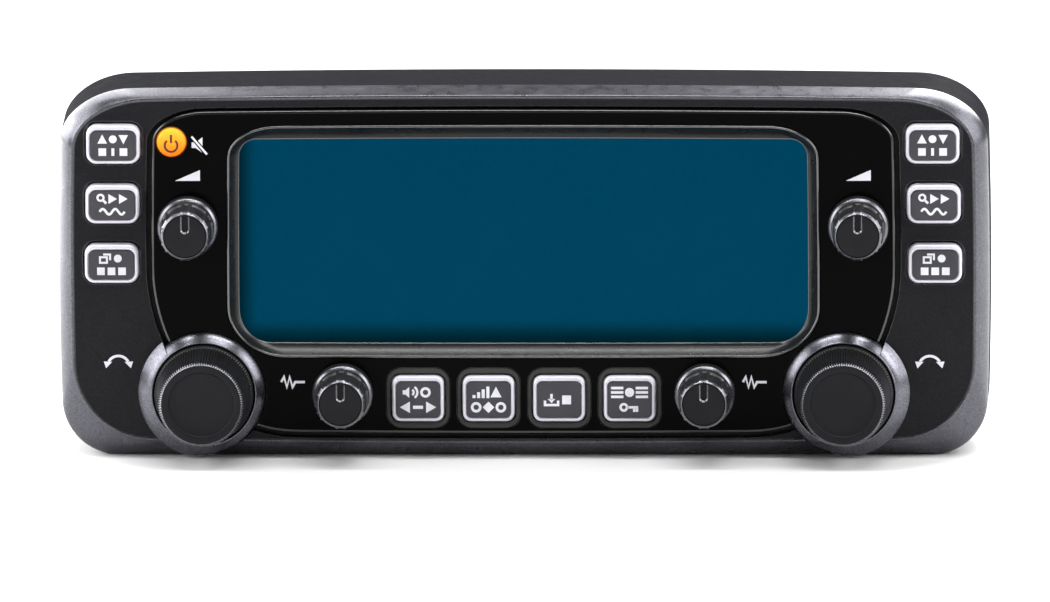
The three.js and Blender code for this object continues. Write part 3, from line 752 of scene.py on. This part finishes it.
def build_small_knob(kind, name, x, z):
    """A knob with six pairs of thin ribs, a bright lip, a chamfered flange and a pointer groove."""
    front = SMALL_KNOB_D

    def pocket(degrees, rib_at=9, rib_half=1.6, slope=2.0):
        """How deep the grip lies below its ribs at an angle, as a share of the full depth."""
        off = abs((degrees + 30) % 60 - 30)
        from_rib = abs(off - rib_at)
        if from_rib < rib_half:
            return 0.0
        rise = min(1, (from_rib - rib_half) / slope)
        smooth = rise * rise * (3 - 2 * rise)
        return smooth * (0.6 if off < rib_at else 1.0)

    grip = [pocket(degrees) for degrees in range(360)]
    ring = lambda r, d, depth: wavy(r, d, x, z, [depth * share for share in grip])
    profile = [(3.2, front + 0.06, 0), (3.32, front + 0.08, 0), (3.36, front + 0.16, 0),
               (3.38, front + 0.34, 0), (3.44, front + 0.34, 0), (3.46, front + 0.1, 0),
               (3.49, front + 0.01, 0), (3.53, front, 0), (3.58, front + 0.03, 0), (3.8, front + 0.27, 0.03),
               (4.0, front + 0.5, 0.12), (4.06, front + 0.64, 0.32)]
    for i in range(1, 9):
        t = i / 8
        profile.append((4.06 + 0.2 * t, front + 0.7 + 4.9 * t, 0.42))
    profile += [(4.26, -5.1, 0.24), (4.28, -4.92, 0), (4.3, -3.3, 0), (4.36, -3.16, 0), (4.6, -3.0, 0),
                (4.8, -2.78, 0), (4.88, -2.55, 0), (4.9, -2.3, 0), (4.9, -0.95, 0)]
    rings = [[(x, front + 0.05, z)], ring(1.6, front + 0.05, 0)]
    rings += [ring(*row) for row in profile]
    rings.append([(x, -0.95, z)])
    knob = Shape().skin(rings).mesh(f"{kind}_{name}_cap")
    wide, narrow = rounded(0.72, 1.66, 0.7, x, z + 2.05), rounded(0.48, 1.42, 0.46, x, z + 2.05)
    groove = [at(wide, front - 1), at(wide, front + 0.06), at(narrow, front + 0.28), at(narrow, front + 0.5)]
    carve(knob, [Shape().skin(groove)])
    dress(knob, f"{kind}_{name}", KNOB_LOOKS, [f"{kind}_knob_{name}"])
    for polygon in knob.data.polygons:
        middle = polygon.center
        if middle.y < FACE_Y + (front + 0.6) * MM:
            r = math.hypot(middle.x / MM - x, middle.z / MM - z)
            on_slope = -0.9 < polygon.normal.y < -0.2
            polygon.material_index = KNOB_EDGE if r > 3.47 or (r < 3.3 and on_slope) else KNOB_FACE
        elif FACE_Y - 3.1 * MM < middle.y < FACE_Y - 2.7 * MM:
            polygon.material_index = KNOB_EDGE


for name, _ in SIDES:
    build_small_knob("volume", name, *VOLUMES[name])
    build_small_knob("squelch", name, *SQUELCHES[name])

# ---------------------------------------------------------------- keys


def build_key(node, size, x, z):
    """A silver-framed cap with a grey face set into it, behind a thin dark gap."""
    w, h, r = size
    frame_x, frame_z, frame_drop = 0.5, 0.64, 0.13
    front = KEY_D
    loop = lambda k: rounded(w - k, h - k, max(r - k * 0.7, 0.3), x, z)
    inset = lambda k: rounded(w - frame_x - k, h - frame_z - k, max(r - 0.35 - k, 0.3), x, z - frame_drop)
    rings = [at(inset(0.02), front + 0.4), at(inset(0), front + 0.12), at(inset(-0.05), front + 0.02),
             at(inset(-0.1), front), at(loop(0.3), front), at(loop(0.2), front + 0.05),
             at(loop(0.1), front + 0.16), at(loop(0.04), front + 0.34), at(loop(0), front + 0.6),
             at(loop(0), 0.4), at(loop(0), 3.6)]
    flange = rounded(w + 0.8, h + 0.8, r + 0.8, x, z)
    rings += [at(flange, 3.6), at(flange, 4.4)]
    stem = rounded(1.2, 1.2, 1.15, x, z)
    rings += [at(stem, 4.4), at(stem, 6.2)]
    cap = Shape().skin(rings).mesh(f"{node}_cap")
    dress(cap, node, (LOOK["key_frame"],), [node])
    rings = [at(inset(1.0), front + 0.02), at(inset(0.4), front + 0.04), at(inset(0.2), front + 0.07),
             at(inset(0.12), front + 0.14), at(inset(0.1), front + 0.38)]
    face = Shape().skin(rings).mesh(f"{node}_face")
    dress(face, node, (LOOK["key_face"],))


for node, (x, z) in SIDE_KEYS.items():
    build_key(node, SIDE_KEY_SIZE, x, z)
for node, (x, z) in LOWER_KEYS.items():
    build_key(node, LOWER_KEY_SIZE, x, z)


def build_power_button():
    x, z = POWER
    profile = [(0, -1.58), (1.0, -1.57), (1.6, -1.53), (1.96, -1.45), (2.16, -1.32), (2.26, -1.12),
               (2.3, -0.85), (2.3, 3.6), (3.3, 3.6), (3.3, 4.4), (1.2, 4.4), (1.2, 6.2), (0, 6.2)]
    button = Shape().skin(turned(profile, x, z, 72)).mesh("power_cap")
    dress(button, "power_button", (LOOK["amber"],), ["power_button"])


build_power_button()

# ---------------------------------------------------------------- printed marks


def ribbon(shape, path, width, front, closed=False):
    """Adds a flat stroke along a path to a shape."""
    sides = ([], [])
    count = len(path)
    for i, (px, pz) in enumerate(path):
        before = path[i - 1] if closed or i else path[i]
        after = path[(i + 1) % count] if closed or i < count - 1 else path[i]
        arms = [unit(before, path[i]), unit(path[i], after)]
        arms = [arm for arm in arms if arm]
        dx = sum(arm[0] for arm in arms) / len(arms)
        dz = sum(arm[1] for arm in arms) / len(arms)
        length = math.hypot(dx, dz) or 1
        reach = min(width / 2 / length, width)
        normal = (-dz / length * reach, dx / length * reach)
        sides[0].append((px + normal[0], pz + normal[1]))
        sides[1].append((px - normal[0], pz - normal[1]))
    if closed:
        outer, inner = sorted(sides, key=area, reverse=True)
        if signed_area(outer) < 0:
            outer, inner = outer[::-1], inner[::-1]
        back = front + MARK_THICKNESS
        shape.skin([at(outer, front), at(outer, back), at(inner, back), at(inner, front)], closed=True)
    else:
        solid_mark(shape, sides[1] + sides[0][::-1], front)


def solid_mark(shape, loop, front):
    """Adds a flat filled patch to a shape."""
    if signed_area(loop) < 0:
        loop = loop[::-1]
    shape.skin([at(loop, front), at(loop, front + MARK_THICKNESS)])


def unit(a, b):
    length = math.dist(a, b)
    return ((b[0] - a[0]) / length, (b[1] - a[1]) / length) if length > 1e-9 else None


def signed_area(loop):
    return sum(a[0] * b[1] - b[0] * a[1] for a, b in zip(loop, loop[1:] + loop[:1])) / 2


def area(loop):
    return abs(signed_area(loop))


def arc(r, start, end, x=0.0, z=0.0, steps=16):
    """Points round (x, z) between two angles in degrees, counted counter-clockwise from +x."""
    angles = [math.radians(start + (end - start) * i / steps) for i in range(steps + 1)]
    return [(x + r * math.cos(a), z + r * math.sin(a)) for a in angles]


# Each symbol is a list of ("fill", points) or ("line" or "loop", points, width), about 1.5 mm high.
SYMBOLS = {
    "up": [("fill", [(-0.72, -0.65), (0.72, -0.65), (0, 0.75)])],
    "down": [("fill", [(-0.72, 0.65), (0, -0.75), (0.72, 0.65)])],
    "forward": [("fill", [(-0.55, -0.75), (0.75, 0), (-0.55, 0.75)])],
    "back": [("fill", [(0.55, -0.75), (0.55, 0.75), (-0.75, 0)])],
    "dot": [("fill", arc(0.6, 0, 345, steps=23))],
    "ring": [("loop", arc(0.52, 0, 345, steps=23), 0.34)],
    "square": [("fill", [(-0.58, -0.58), (0.58, -0.58), (0.58, 0.58), (-0.58, 0.58)])],
    "diamond": [("fill", [(-0.75, 0), (0, -0.75), (0.75, 0), (0, 0.75)])],
    "bar": [("fill", [(-0.22, -0.58), (0.22, -0.58), (0.22, 0.58), (-0.22, 0.58)])],
    "dash": [("line", [(-0.65, 0), (0.65, 0)], 0.42)],
    "lines": [("line", [(-0.8, h), (0.8, h)], 0.34) for h in (-0.58, 0, 0.58)],
    "steps": [("line", [(h, -0.75), (h, -0.35 + (h + 0.9) * 0.62)], 0.4) for h in (-0.9, -0.3, 0.3, 0.9)],
    "wave": [("line", [(-1.9 + 0.1 * i, 0.42 * math.sin(i * math.pi / 9.5)) for i in range(39)], 0.36)],
    "lens": [("loop", arc(0.46, 0, 345, -0.15, 0.18, 23), 0.32),
             ("line", [(0.24, -0.21), (0.72, -0.69)], 0.38)],
    "stack": [("loop", [(-0.75, -0.65), (0.3, -0.65), (0.3, 0.2), (-0.75, 0.2)], 0.3),
              ("line", [(-0.25, 0.62), (0.78, 0.62), (0.78, -0.25)], 0.3)],
    "tray": [("line", [(-0.85, -0.1), (-0.85, -0.68), (0.85, -0.68), (0.85, -0.1)], 0.32),
             ("fill", [(-0.5, 0.12), (0, -0.42), (0.5, 0.12)]), ("line", [(0, 0.0), (0, 0.78)], 0.34)],
    "sound": [("fill", [(-1.0, -0.28), (-0.65, -0.28), (-0.15, -0.72), (-0.15, 0.72), (-0.65, 0.28),
                        (-1.0, 0.28)]),
              ("line", arc(0.42, -55, 55, 0, 0, 8), 0.28), ("line", arc(0.85, -55, 55, 0.05, 0, 10), 0.28)],
    "key": [("loop", arc(0.42, 0, 345, -0.75, 0, 23), 0.32), ("line", [(-0.3, 0), (1.1, 0)], 0.32),
            ("line", [(0.6, -0.1), (0.6, -0.6)], 0.32), ("line", [(0.95, -0.1), (0.95, -0.6)], 0.32)],
    "ramp": [("fill", [(-2.0, -0.8), (2.0, -0.8), (2.0, 0.95)])],
    "gate": [("line", [(-1.9, 0.0), (-1.45, 0.85), (-1.0, -0.85), (-0.55, 0.85), (-0.1, -0.85), (0.35, 0.0),
                       (1.9, 0.0)], 0.4)],
    "turn": [("line", arc(1.8, 150, 30, 0, -0.95, 20), 0.42),
             ("fill", [(-2.35, -0.05), (-1.0, -0.1), (-2.0, -1.15)]),
             ("fill", [(2.35, -0.05), (2.0, -1.15), (1.0, -0.1)])],
    "mute": [("fill", [(-0.17, 0.72), (0.55, -0.13), (0.55, 1.3)]),
             ("fill", [(-1.2, -0.45), (-0.55, -0.45), (0.5, -1.22), (-0.85, 0.45), (-1.2, 0.45)]),
             ("line", [(-1.2, 1.4), (1.25, -1.5)], 0.32)],
    "power": [("line", arc(1.02, 130, 410, 0, -0.25, 28), 0.34), ("line", [(0, 0.15), (0, 1.5)], 0.34)],
}


def draw(name, symbols, body, surface, material="ink", scale=1.0):
    """One mesh of several symbols, given as (symbol, x, z), printed on a surface."""
    shape = Shape()
    for symbol, x, z in symbols:
        for kind, path, *width in SYMBOLS[symbol]:
            moved = [(x + px * scale, z + pz * scale) for px, pz in path]
            if kind == "fill":
                solid_mark(shape, moved, surface - MARK_THICKNESS / 2)
            else:
                ribbon(shape, moved, width[0] * scale, surface - MARK_THICKNESS / 2, closed=kind == "loop")
    dress(shape.mesh(name), body, (LOOK[material],))


def legend(node, x, z, rows, scale):
    """One or two rows of small symbols on a key. Two symbols in a row stand further apart than three."""
    row_pitch, pair_pitch, close_pitch, drop = 1.96, 1.95, 1.6, 0.12
    symbols = []
    for j, row in enumerate(rows):
        height = ((len(rows) - 1) / 2 - j) * row_pitch * scale
        spread = (pair_pitch if len(row) == 2 else close_pitch) * scale
        for i, symbol in enumerate(row):
            symbols.append((symbol, x + (i - (len(row) - 1) / 2) * spread, z - drop + height))
    draw(f"{node}_legend", symbols, node, KEY_D + 0.02, scale=scale)


SIDE_LEGENDS = {
    "main_key": (("up", "dot", "down"), ("square", "bar", "square")),
    "scan_key": (("lens", "forward", "forward"), ("wave",)),
    "memory_key": (("stack", "dot"), ("square", "square", "square")),
}
LOWER_LEGENDS = {
    "monitor_key": (("sound", "ring"), ("back", "dash", "forward")),
    "power_level_key": (("steps", "up"), ("ring", "diamond", "ring")),
    "write_key": (("tray", "square"),),
    "menu_key": (("lines", "dot", "lines"), ("key",)),
}

for name, _ in SIDES:
    for key, rows in SIDE_LEGENDS.items():
        legend(f"{key}_{name}", *SIDE_KEYS[f"{key}_{name}"], rows, SIDE_LEGEND_SCALE)
for key, rows in LOWER_LEGENDS.items():
    legend(key, *LOWER_KEYS[key], rows, LOWER_LEGEND_SCALE)

for name, side in SIDES:
    places = {kind: (side * reach, MARK_HEIGHTS[kind]) for kind, reach in MARK_REACHES.items()}
    ramp = ("ramp", VOLUMES[name][0], MARK_HEIGHTS["volume"])
    draw(f"volume_mark_{name}", [ramp], "case", PANEL_D)
    draw(f"squelch_mark_{name}", [("gate", *places["squelch"])], "case", PANEL_D)
    draw(f"dial_mark_{name}", [("turn", *places["dial"])], "case", 0)
mute = ("mute", -MARK_REACHES["mute"], MARK_HEIGHTS["mute"])
draw("mute_mark", [mute], "case", PANEL_D)
power = ("power", POWER[0], POWER[1] - 0.15)
draw("power_mark", [power], "power_button", KEY_D + 0.02, "brown")

# ---------------------------------------------------------------- rear cover


def build_cover():
    """The rear cover, with posts for its screws and inserts, an opening for the socket and a label recess."""
    front, rear = COVER_FRONT.points(), COVER_REAR.points()
    edge = 1.6
    start, shoulder = PARTING_D + 0.7, COVER_D - edge
    rings = [at(COVER_FRONT.inset(k).points(), start - step) for k, step in ((0.4, 0.4), (0.12, 0.3), (0, 0))]
    rings += [at(mix(front, rear, t), start + (shoulder - start) * t) for t in (0.33, 0.67, 1.0)]
    for i in range(1, 7):
        a = math.pi / 2 * i / 6
        rings.append(at(COVER_REAR.inset(edge * (1 - math.cos(a))).points(), shoulder + edge * math.sin(a)))
    cover = Shape().skin(rings).mesh("cover_shell")
    hollow = [at(COVER_FRONT.inset(WALL).points(), 18), at(COVER_FRONT.inset(WALL).points(), 19.4),
              at(COVER_REAR.inset(WALL + 0.2).points(), COVER_D - WALL)]
    carve(cover, [Shape().skin(hollow)])
    past = COVER_D + 1
    tools, posts = [], []
    for i in range(1, 5):
        screw, insert = centre(f"cover_screw_{i}"), centre(f"mount_insert_{i}")
        counterbore = [(2.7, 24.2), (2.7, COVER_D - 0.2), (2.9, COVER_D), (2.95, past)]
        tools.append(Shape().skin(turned(counterbore, *screw)))
        tools.append(rod(2.5, *insert, 20.9, past))
        posts += [rod(3.4, *screw, 19.3, COVER_D - 1), rod(3.6, *insert, 20, COVER_D - 1)]
    tools.append(slab(rounded(7.15, 6.75, 0.4, *centre("control_jack")), 15, past))
    tools.append(slab(rounded(21.3, 6.3, 1.3, *centre("rating_label")), 26.2, past))
    carve(cover, posts, "UNION")
    carve(cover, tools)
    dress(cover, "case", (LOOK["cover"],), ["rear_cover"])


build_cover()

# ---------------------------------------------------------------- fasteners and socket contacts


def build_cover_screw(node):
    """A domed screw with a cross recess and a threaded shank."""
    x, z = centre(node)
    profile = [(0, 14), (0.7, 14.2)]
    for turn in range(12):
        d = 14.8 + 0.75 * turn
        profile += [(0.95, d), (1.2, d + 0.3), (1.2, d + 0.36), (0.95, d + 0.66)]
    profile += [(1.2, 24.3), (1.2, 24.5), (2.2, 24.5), (2.3, 24.62)]
    for i in range(7):
        a = math.pi / 2 * i / 7
        profile.append((2.28 * math.cos(a), 24.85 + 1.25 * math.sin(a)))
    profile.append((0, 26.1))
    screw = Shape().skin(turned(profile, x, z, 48)).mesh(f"{node}_turned")
    for w, h in ((1, 0), (0, 1)):
        deep = rounded(0.14 + 0.6 * w, 0.14 + 0.6 * h, 0.1, x, z)
        wide = rounded(0.3 + 1.05 * w, 0.3 + 1.05 * h, 0.2, x, z)
        carve(screw, [Shape().skin([at(deep, 25.1), at(wide, 26.6)])])
    dress(screw, "case", (LOOK["steel"],), [node])


def build_insert(node):
    """A brass tube with a waist outside and a thread in its bore."""
    x, z = centre(node)
    front, back = 21.2, COVER_D - 0.2
    profile = [(1.4, front), (2.15, front), (2.3, front + 0.15), (2.3, 23.4), (2, 23.6), (2, 24.4),
               (2.3, 24.6), (2.3, back - 0.12), (2.18, back), (1.75, back), (1.6, back - 0.15)]
    for turn in range(10):
        d = back - 0.3 - 0.5 * turn
        profile += [(1.6, d), (1.4, d - 0.25)]
    insert = Shape().skin(turned(profile, x, z, 48), closed=True).mesh(f"{node}_turned")
    dress(insert, "case", (LOOK["brass"],), [node])


def build_contacts():
    """Six sprung wires along the floor of the cable socket's mouth."""
    top = [(14.9, 10.9), (16.5, 10.9), (18.2, 10.7), (24.4, 9.76), (25.4, 9.66)]
    loop = top + [(d, z - 0.22) for d, z in reversed(top)]
    wires = Shape()
    for i in range(6):
        x = (i - 2.5) * 1.02
        wires.skin([[(x + edge, d, z) for d, z in loop] for edge in (-0.15, 0.15)])
    dress(wires.mesh("socket_contacts"), "case", (LOOK["gold"],))


for i in range(1, 5):
    build_cover_screw(f"cover_screw_{i}")
    build_insert(f"mount_insert_{i}")
build_contacts()

# ---------------------------------------------------------------- CAD pieces that stay as they are

KEPT = {
    "rating_label": "foil", "lcd_panel": "display", "light_guide": "guide", "lcd_holder": "socket",
    "lcd_flex": "flex", "main_board": "board", "control_jack": "socket", "power_switch": "socket",
    "key_mat_left": "rubber", "key_mat_right": "rubber", "key_mat_lower": "rubber",
}
for name, _ in SIDES:
    for part in ("dial_encoder", "volume_pot", "squelch_pot"):
        KEPT[f"{part}_{name}"] = "steel"
    for part in ("dial", "volume", "squelch"):
        KEPT[f"{part}_shaft_{name}"] = "steel"
for i in range(1, 5):
    KEPT[f"board_screw_{i}"] = "steel"
for node, look in KEPT.items():
    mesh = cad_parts[node].data
    mesh.materials.clear()
    mesh.materials.append(LOOK[look])

# ---------------------------------------------------------------- floor, light and camera


def build_floor():
    recipe = Recipe("pale_floor", (0.6, 0.6, 0.6), 0.9)
    recipe.set("Roughness", recipe.cloud(20, 0.85, 0.95))
    size = 3.0
    corners = [(-size, -size, 0), (size, -size, 0), (size, size, 0), (-size, size, 0)]
    mesh = bpy.data.meshes.new("floor")
    mesh.from_pydata(corners, [], [(0, 1, 2, 3)])
    mesh.materials.append(recipe.material)
    floor = bpy.data.objects.new("floor", mesh)
    bpy.context.collection.objects.link(floor)


def aim(thing, target):
    thing.rotation_euler = (Vector(target) - thing.location).to_track_quat("-Z", "Y").to_euler()


def add_light(name, spot, target, size, power):
    light = bpy.data.lights.new(name, "AREA")
    light.shape = "RECTANGLE"
    light.size, light.size_y = size
    light.energy = power
    made = bpy.data.objects.new(name, light)
    made.location = spot
    made.visible_camera = False
    bpy.context.collection.objects.link(made)
    aim(made, target)


def build_camera(azimuth=1.8, elevation=10.0, roll=-0.31, distance=3.0, width=0.169):
    """A long lens at the photograph's angle. width is what the frame spans at the object."""
    camera = bpy.data.cameras.new("camera")
    camera.sensor_width = 36
    camera.lens = 36 * distance / width
    camera.clip_start = 0.05
    made = bpy.data.objects.new("camera", camera)
    a, e = math.radians(azimuth), math.radians(elevation)
    target = Vector((0, 0, 0.0243))
    away = Vector((math.sin(a) * math.cos(e), -math.cos(a) * math.cos(e), math.sin(e)))
    made.location = target + away * distance
    bpy.context.collection.objects.link(made)
    aim(made, target)
    made.rotation_euler.rotate_axis("Z", math.radians(roll))
    bpy.context.scene.camera = made


build_floor()
build_camera()
add_light("overhead", (0.0, -0.09, 0.85), (0, -0.09, 0), (0.9, 0.12), 6)
add_light("top_front", (0.18, -0.36, 0.85), (0, 0, 0.03), (0.4, 0.14), 1.8)
add_light("side_left", (-0.5, 0.02, 0.28), (0, 0.0, 0.03), (0.4, 0.36), 2.2)
add_light("side_right", (0.6, -0.05, 0.3), (0, 0, 0.03), (0.6, 0.5), 3.8)
add_light("front_left", (-0.55, -0.32, 0.25), (0, 0, 0.03), (0.3, 0.4), 2.6)
add_light("front_right", (0.55, -0.32, 0.32), (0, 0, 0.03), (0.3, 0.3), 1.5)
add_light("rim_left", (-0.288, 0.32, 0.36), (-0.288, 0, 0.15), (0.4, 0.34), 2.7)
add_light("rim_right", (0.275, 0.32, 0.36), (0.275, 0, 0.15), (0.4, 0.34), 5.8)
add_light("corner_left", (-0.33, 0.2, 0.13), (-0.07, 0, 0.03), (0.3, 0.2), 1.3)
add_light("floor_left", (-0.32, 0.26, 0.12), (-0.32, 0.26, 0), (0.16, 0.12), 1.8)

world = bpy.data.worlds.new("studio")
world.use_nodes = True
world.node_tree.nodes["Background"].inputs["Color"].default_value = (1, 1, 1, 1)
world.node_tree.nodes["Background"].inputs["Strength"].default_value = 0.12
bpy.context.scene.world = world
bpy.context.scene.view_settings.view_transform = "Standard"
